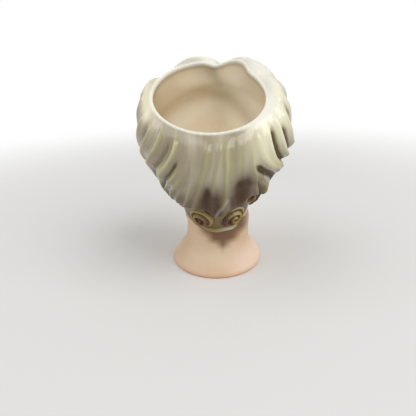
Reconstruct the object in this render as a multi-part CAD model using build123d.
from build123d import *
import math
import os

# Head planter: a hollow ceramic head with swept-back hair on a flared foot.
# Origin at the centre of the foot ring on the table, +Z up, the face looks along -Y.

# Driving sizes in millimetres, angles in degrees
foot_diameter = 71.6
neck_diameter = 48.6
wall = 4.2

# Neck and foot
foot_edge = 2.2
foot_rounding = 1.4
flare_height = 15.5
flare_step = 1.9
throat_height = 21.0
floor_thickness = 4.6
foot_ring_width = 6.0
foot_recess = 1.4
neck_top = 40.0

# Head and face
head_width = 63.0
head_front = 46.0
head_rear = 36.0
head_top = 124.0
chin_height = 48.0
hairline_height = 115.0
window_width = 58.0

# Share by which the points of a head ring crowd to the front
front_crowding_share = 0.6

# Face, laid out on thirds from the chin to the hairline
nose_height = 7.4
nose_width = 4.2
eye_spacing = 26.0
eye_width = 12.6
eye_bulge = 2.4
socket_depth = 2.2
mouth_span = 19.0
lip_bulge = 2.0
lip_height = 2.0
chin_bulge = 1.4

# Tilted mouth of the planter and its two-lobed front
mouth_tilt = 26.0
mouth_height = 126.8
mouth_setback = 2.0
mouth_width = 81.0
mouth_front = 47.5
mouth_back = 44.5
mouth_shift = 5.0
valley_depth = 6.0
valley_width = 6.0
wave_tilt = 3.0

# Hair
hair_width = 113.0
hair_front = 55.0
hair_back = 71.2
hair_drop = 72.0
lock_count = 24
lock_depth = 2.2
wave_thickness = 8.5
wave_reach = 43.0
parting_offset = 1.5
parting_depth = 4.0
parting_width = 7.0

# Curls and the roll along the nape
curl_radius = 8.4
curl_rope = 3.8
side_curl_radius = 6.2
side_curl_rope = 3.0
curl_gap = 0.4
nape_roll_thickness = 4.8
nape_roll_start = 20.0
nape_roll_end = -34.0
nape_roll_level_share = -0.955

# Where each curl lies: its turn round the head from the back, and its level share
nape_curl_left_turn = 14.0
nape_curl_left_level_share = -0.81
nape_curl_right_turn = -29.0
nape_curl_right_level_share = -0.84
side_curl_left_turn = 31.0
side_curl_left_level_share = -0.78
side_curl_right_turn = -46.0
side_curl_right_level_share = -0.76

# Facets: steps round each form
steps_a_lock = 3
head_steps = 44
steps_a_curl_turn = 14
nape_roll_steps = 10

overrun = 20.0
neck_radius = neck_diameter / 2
bore_radius = neck_radius - wall
face_third = (hairline_height - chin_height) / 3


def bump(distance, spread):
    return math.exp(-((distance / spread) ** 2))


def ease(share):
    share = min(max(share, 0.0), 1.0)
    return share * share * (3 - 2 * share)


def blend(table_shares, share):
    """Row of a table, found by the share in its first column, with straight runs between rows."""
    for low, high in zip(table_shares, table_shares[1:]):
        if share <= high[0]:
            part = (share - low[0]) / (high[0] - low[0])
            return [a + (b - a) * part for a, b in zip(low[1:], high[1:])]
    return list(table_shares[-1][1:])


def facet(*corners):
    return Face(Wire.make_polygon(corners, close=True))


def faceted_loft(rings):
    """Closed solid through flat rings with as many points each, skinned with flat facets."""
    faces = [facet(*rings[0]), facet(*rings[-1])]
    for low, high in zip(rings, rings[1:]):
        for i in range(len(low)):
            a, b, c, d = low[i - 1], low[i], high[i], high[i - 1]
            if (a - c).length < (b - d).length:
                faces += [facet(a, b, c), facet(a, c, d)]
            else:
                faces += [facet(a, b, d), facet(b, c, d)]
    return Solid(Shell(faces))


def egg_point(turn, half_width, front, back, taper):
    """Point of an egg-shaped ring: turn 0 is at the back, half a turn at the front."""
    narrowing = 1 - taper * (1 - math.cos(turn)) / 2
    x = half_width * math.sin(turn) * narrowing
    depth = (back - front) / 2 + (back + front) / 2 * math.cos(turn)
    return x, depth


# Hair, mouth and head cavity are built about a plane tilted like the mouth:
# x stays level, the second axis runs down to the back, levels rise square to the mouth
tilted = Plane(
    origin=(0, -mouth_setback, mouth_height),
    x_dir=(1, 0, 0),
    z_dir=(0, math.sin(math.radians(mouth_tilt)), math.cos(math.radians(mouth_tilt))),
)


def tilted_ring(outline, level):
    return [tilted.from_local_coords(Vector(x, depth, level)) for x, depth in outline]


# Hair rings from the nape up to the top of the waves: level as a share of hair_drop, then
# shares of half hair_width, hair_front, hair_back, mouth_shift and lock_depth
hair_ring_shares = [
    (-1.0, 0.46, -0.05, 0.90, 0.0, 0.0),
    (-0.92, 0.59, 0.14, 0.94, 0.0, 0.5),
    (-0.79, 0.77, 0.37, 0.955, 0.0, 0.8),
    (-0.63, 0.91, 0.57, 0.98, 0.0, 1.0),
    (-0.47, 0.99, 0.73, 1.0, 0.0, 1.0),
    (-0.32, 1.0, 0.85, 0.995, 0.0, 1.0),
    (-0.19, 0.99, 0.945, 0.955, 0.0, 1.0),
    (-0.09, 0.955, 0.99, 0.87, 0.1, 0.8),
    (-0.01, 0.81, 1.0, 0.68, 0.8, 0.4),
    (0.065, 0.70, 0.90, 0.50, 1.0, 0.0),
]


def hair_point(turn, level_share):
    """Point on the combed hair, in tilted coordinates."""
    width_share, front_share, back_share, shift_share, lock_share = blend(hair_ring_shares, level_share)
    x, depth = egg_point(
        turn, hair_width / 2 * width_share, hair_front * front_share, hair_back * back_share, 0
    )
    x += mouth_shift * shift_share
    front = ease(-1.5 * math.cos(turn) - 0.3)
    lock = -lock_depth * lock_share * (1 - math.cos(lock_count * turn)) / 2 * (1 - front)
    parting = -parting_depth * bump(x + parting_offset, parting_width) * front
    push = lock + parting
    return Vector(x + push * math.sin(turn), depth + push * math.cos(turn), hair_drop * level_share)


def make_hair_form():
    steps = lock_count * steps_a_lock
    rings = []
    for level_share, *_ in hair_ring_shares:
        points = [hair_point(2 * math.pi * i / steps, level_share) for i in range(steps)]
        rings.append([tilted.from_local_coords(point) for point in points])
    return faceted_loft(rings)


# Mouth: an egg with a valley where the two front waves meet
def mouth_outline():
    points = []
    steps = lock_count * steps_a_lock // 2
    for i in range(steps):
        turn = 2 * math.pi * i / steps
        x, depth = egg_point(turn, mouth_width / 2, mouth_front, mouth_back, 0)
        x += mouth_shift
        if math.cos(turn) < 0:
            depth += valley_depth * bump(x + parting_offset - mouth_shift / 2, valley_width)
        points.append((x, depth))
    return points


def face_clearance(level):
    """Front reach of a tilted ring that stays one wall behind the face."""
    tilt = math.radians(mouth_tilt)
    inside = head_front - wall - mouth_setback
    return (inside + level * math.sin(tilt)) / math.cos(tilt)


def nape_clearance(level):
    """Back reach of a tilted ring that has come in to the bore where it reaches neck_top."""
    tilt = math.radians(mouth_tilt)
    drop = mouth_height - neck_top
    reach = (drop + level * math.cos(tilt)) / math.sin(tilt)
    inside = (bore_radius + mouth_setback - level * math.sin(tilt)) / math.cos(tilt)
    return max(inside, min(reach, hair_back) - wall)


# Cavity rings: level as a share of hair_drop, shares of half hair_width and hair_back less
# one wall, sideways share of mouth_shift, narrowing to the front, and extra walls in front
cavity_ring_shares = [
    (-0.12, 0.88, 0.83, 0.5, 0.2, 0.0),
    (-0.38, 0.97, 0.99, 0.0, 0.56, 0.0),
    (-0.61, 0.90, 0.97, 0.0, 0.62, 0.2),
    (-0.80, 0.70, 0.91, 0.0, 0.60, 0.6),
    (-0.92, 0.46, 0.88, 0.0, 0.50, 0.8),
    (-1.10, 0.28, 0.80, 0.0, 0.40, 1.4),
]


def make_cavity():
    rim = mouth_outline()
    steps = len(rim)
    rings = [tilted_ring(rim, overrun), tilted_ring(rim, 0)]
    for level_share, width_share, back_share, shift_share, taper, walls in cavity_ring_shares:
        level = hair_drop * level_share
        half_width = hair_width / 2 * width_share - wall
        front = min(face_clearance(level), hair_front - wave_thickness) - wall * walls
        back = min(hair_back * back_share - wall, nape_clearance(level))
        outline = []
        for i in range(steps):
            x, depth = egg_point(2 * math.pi * i / steps, half_width, front, back, taper)
            outline.append((x + mouth_shift * shift_share, depth))
        rings.append(tilted_ring(outline, level))
    return faceted_loft(rings)


# Head rings from the neck to the crown: height share between neck_top and head_top, then
# shares of half head_width, head_front and head_rear, and the narrowing to the front
head_ring_shares = [
    (0.0, neck_diameter / head_width, neck_radius / head_front, neck_radius / head_rear, 0.0),
    (0.05, 0.78, 0.60, 0.69, 0.05),
    (0.095, 0.81, 0.89, 0.73, 0.32),
    (0.15, 0.86, 0.95, 0.78, 0.34),
    (0.27, 0.93, 0.95, 0.86, 0.26),
    (0.43, 0.99, 0.96, 0.95, 0.16),
    (0.62, 1.0, 1.0, 1.0, 0.1),
    (0.81, 0.98, 1.0, 0.98, 0.06),
    (0.93, 0.92, 0.98, 0.9, 0.02),
    (1.0, 0.84, 0.94, 0.8, 0.0),
]
# Heights of the rings that carry the relief of the face, as shares of a third of the face
relief_height_shares = [
    0.0, 0.16, 0.3, 0.42, 0.51, 0.6, 0.7, 0.82, 0.92, 1.04, 1.25, 1.5, 1.64, 1.76, 1.9, 2.1, 2.5
]


def face_relief(x, height):
    """How far the skin stands in front of the plain head at this place."""
    up = (height - chin_height) / face_third
    side = abs(x)
    bridge = min(max((up - 1.0) / 0.95, 0.0), 1.0)
    nose_end = ease((up - 0.86) / 0.12) * ease((2.1 - up) / 0.3)
    nose = nose_height * (1 - 0.75 * bridge) * nose_end * bump(x, nose_width * (1 - 0.35 * bridge))
    wings = nose_height * 0.3 * bump(side - nose_width, nose_width * 0.5) * bump(up - 1.02, 0.12)
    eye = side - eye_spacing / 2
    socket = -socket_depth * bump(eye, eye_width * 0.6) * bump(up - 1.75, 0.3)
    lid = eye_bulge * bump(eye, eye_width * 0.38) * bump(up - 1.7, 0.14)
    lips = lip_bulge * bump(x, mouth_span / 2.6) * (
        bump(up - 0.7, lip_height / face_third) + bump(up - 0.52, lip_height / face_third)
    )
    chin = chin_bulge * bump(x, mouth_span / 2.4) * bump(up - 0.16, 0.16)
    return nose + wings + socket + lid + lips + chin


def head_outline(height):
    share = (height - neck_top) / (head_top - neck_top)
    width_share, front_share, rear_share, taper = blend(head_ring_shares, share)
    points = []
    for i in range(head_steps):
        even = 2 * math.pi * i / head_steps
        turn = even + front_crowding_share * math.sin(even)
        x, y = egg_point(
            turn, head_width / 2 * width_share, head_front * front_share, head_rear * rear_share, taper
        )
        if math.cos(turn) < 0:
            y -= face_relief(x, height)
        points.append(Vector(x, y, height))
    return points


def make_head_form():
    heights = [neck_top + (head_top - neck_top) * row[0] for row in head_ring_shares]
    heights = [height for height in heights if height < chin_height or height > hairline_height - wall]
    heights += [chin_height + face_third * share for share in relief_height_shares]
    return faceted_loft([head_outline(height) for height in sorted(heights)])


# Right half of the opening of the hair over the face, from the parting down to the neck:
# shares of half window_width and of a third of the face, measured down from the hairline
window_shares = [
    (0.0, 0.0), (0.3, -0.06), (0.55, 0.0), (0.77, 0.2), (0.92, 0.55), (1.0, 1.1), (0.99, 1.9), (0.93, 4.0)
]


def make_face_window():
    half = [
        (window_width / 2 * side, hairline_height - face_third * down) for side, down in window_shares
    ]
    outline = half + [(-x, height) for x, height in reversed(half[1:])]
    face = make_face(Polyline([(x, 0, height) for x, height in outline], close=True).edges())
    return extrude(face, hair_front + overrun, dir=(0, -1, 0)).solid()


def make_neck_and_foot():
    foot_radius = foot_diameter / 2
    outline = [
        (0, foot_recess),
        (foot_radius - foot_ring_width, foot_recess),
        (foot_radius - foot_ring_width, 0),
        (foot_radius - foot_rounding, 0),
        (foot_radius, foot_rounding),
        (foot_radius, foot_edge),
        (foot_radius - foot_rounding, foot_edge + foot_rounding),
        (neck_radius + flare_step, flare_height),
        (neck_radius, throat_height),
        (neck_radius, neck_top),
        (bore_radius, neck_top),
        (bore_radius, throat_height),
        (foot_radius - 2 * wall, floor_thickness),
        (0, floor_thickness),
    ]
    section = make_face(Polyline(outline, close=True).edges())
    return revolve(Plane.XZ * section, Axis.Z).solid()


def block_above(plane):
    """Block that holds everything above a plane."""
    corner = plane.from_local_coords((-hair_width, -hair_width, 0))
    return Solid.make_box(
        2 * hair_width, 2 * hair_width, hair_width, Plane(origin=corner, x_dir=plane.x_dir, z_dir=plane.z_dir)
    )


# Plane of the rim: it meets the mouth plane at the back and rises over the waves in front
def rim_plane():
    back_rim = tilted.from_local_coords((0, mouth_back, 0))
    angle = math.radians(mouth_tilt + wave_tilt)
    return Plane(origin=back_rim, x_dir=(1, 0, 0), z_dir=(0, math.sin(angle), math.cos(angle)))


def make_wave_block(side):
    """Upright block over one side of the forehead, from the parting out to the side hair."""
    half = window_width / 2
    inner = -parting_offset
    corners = [
        (inner, -hair_front - overrun),
        (inner, -head_front / 2),
        (side * wave_reach, -head_front / 2),
        (side * half, -head_front),
        (side * half, -hair_front - overrun),
    ]
    low = hairline_height - face_third * 0.4
    face = make_face(Polyline([(x, y, low) for x, y in corners], close=True).edges())
    return extrude(face, hair_width, dir=(0, 0, 1)).solid()


def hair_place(turn, level_share):
    """Plane on the combed hair: x runs round the head, z points out of the hair."""
    reach = 0.02
    here = tilted.from_local_coords(hair_point(turn, level_share))
    beside = tilted.from_local_coords(hair_point(turn + reach, level_share))
    above = tilted.from_local_coords(hair_point(turn, level_share + reach))
    along = beside - here
    return Plane(origin=here, x_dir=along, z_dir=(above - here).cross(along))


def make_strand(places, sizes):
    """Strand of clay with six sides, swept through planes that its line crosses."""
    sections = []
    for place, size in zip(places, sizes):
        corners = []
        for side in range(6):
            around = math.pi * side / 3
            corner = Vector(size * math.cos(around), size * math.sin(around), 0)
            corners.append(place.from_local_coords(corner))
        sections.append(corners)
    return faceted_loft(sections)


def make_curl(turn, level_share, radius, rope, hand):
    """Pin curl: a strand wound in to its centre, half sunk in the hair that it lies on."""
    place = hair_place(math.radians(turn), level_share)
    outer = radius - rope / 2
    inner = rope / 2
    turns = (outer - inner) / (rope + curl_gap)
    steps = round(turns * steps_a_curl_turn)
    places = []
    sizes = []
    for i in range(steps + 1):
        angle = 2 * math.pi * i / steps_a_curl_turn
        reach = outer + (inner - outer) * i / steps
        out = place.x_dir * (math.cos(angle) * hand) + place.y_dir * math.sin(angle)
        lift = place.z_dir * (rope * (0.15 + 0.25 * i / steps))
        places.append(Plane(origin=place.origin + out * reach + lift, x_dir=out, z_dir=out.cross(place.z_dir)))
        sizes.append(rope / 2 * (1 - 0.3 * i / steps))
    return make_strand(places, sizes)


def make_nape_roll():
    """Strand along the lower edge of the hair, from under one nape curl to the other."""
    places = []
    sizes = []
    for i in range(nape_roll_steps + 1):
        turn = math.radians(nape_roll_start + (nape_roll_end - nape_roll_start) * i / nape_roll_steps)
        place = hair_place(turn, nape_roll_level_share)
        places.append(Plane(origin=place.origin, x_dir=place.z_dir, z_dir=place.x_dir))
        sizes.append(nape_roll_thickness / 2 * (0.55 + 0.45 * math.sin(math.pi * i / nape_roll_steps)))
    return make_strand(places, sizes)


def largest(shape):
    return max(shape.solids(), key=lambda solid: solid.volume)


hair_form = make_hair_form()
head_form = make_head_form()
cavity = make_cavity()
neck_space = Solid.make_cylinder(neck_radius, neck_top)
bore = Solid.make_cylinder(bore_radius, neck_top + 3 * wall)
hair = hair_form - make_face_window() - cavity - block_above(rim_plane()) - head_form - neck_space
wave_left = make_wave_block(1)
wave_right = make_wave_block(-1)
curls = {
    "nape_curl_left": make_curl(nape_curl_left_turn, nape_curl_left_level_share, curl_radius, curl_rope, 1),
    "nape_curl_right": make_curl(
        nape_curl_right_turn, nape_curl_right_level_share, curl_radius, curl_rope, -1
    ),
    "side_curl_left": make_curl(
        side_curl_left_turn, side_curl_left_level_share, side_curl_radius, side_curl_rope, 1
    ),
    "side_curl_right": make_curl(
        side_curl_right_turn, side_curl_right_level_share, side_curl_radius, side_curl_rope, -1
    ),
    "nape_roll": make_nape_roll(),
}
parts = {
    "neck_and_foot": make_neck_and_foot(),
    "head_shell": head_form - cavity - bore,
    "hair_shell": hair - wave_left - wave_right,
    "front_wave_left": hair & wave_left,
    "front_wave_right": hair & wave_right,
}
for name, curl in curls.items():
    parts[name] = curl - hair_form - neck_space - head_form
parts["nape_roll"] = parts["nape_roll"] - parts["nape_curl_left"] - parts["nape_curl_right"]

os.makedirs("parts", exist_ok=True)
for name, part in parts.items():
    print(name, [round(solid.volume, 1) for solid in part.solids()])
    export_step(largest(part), f"parts/{name}.step")
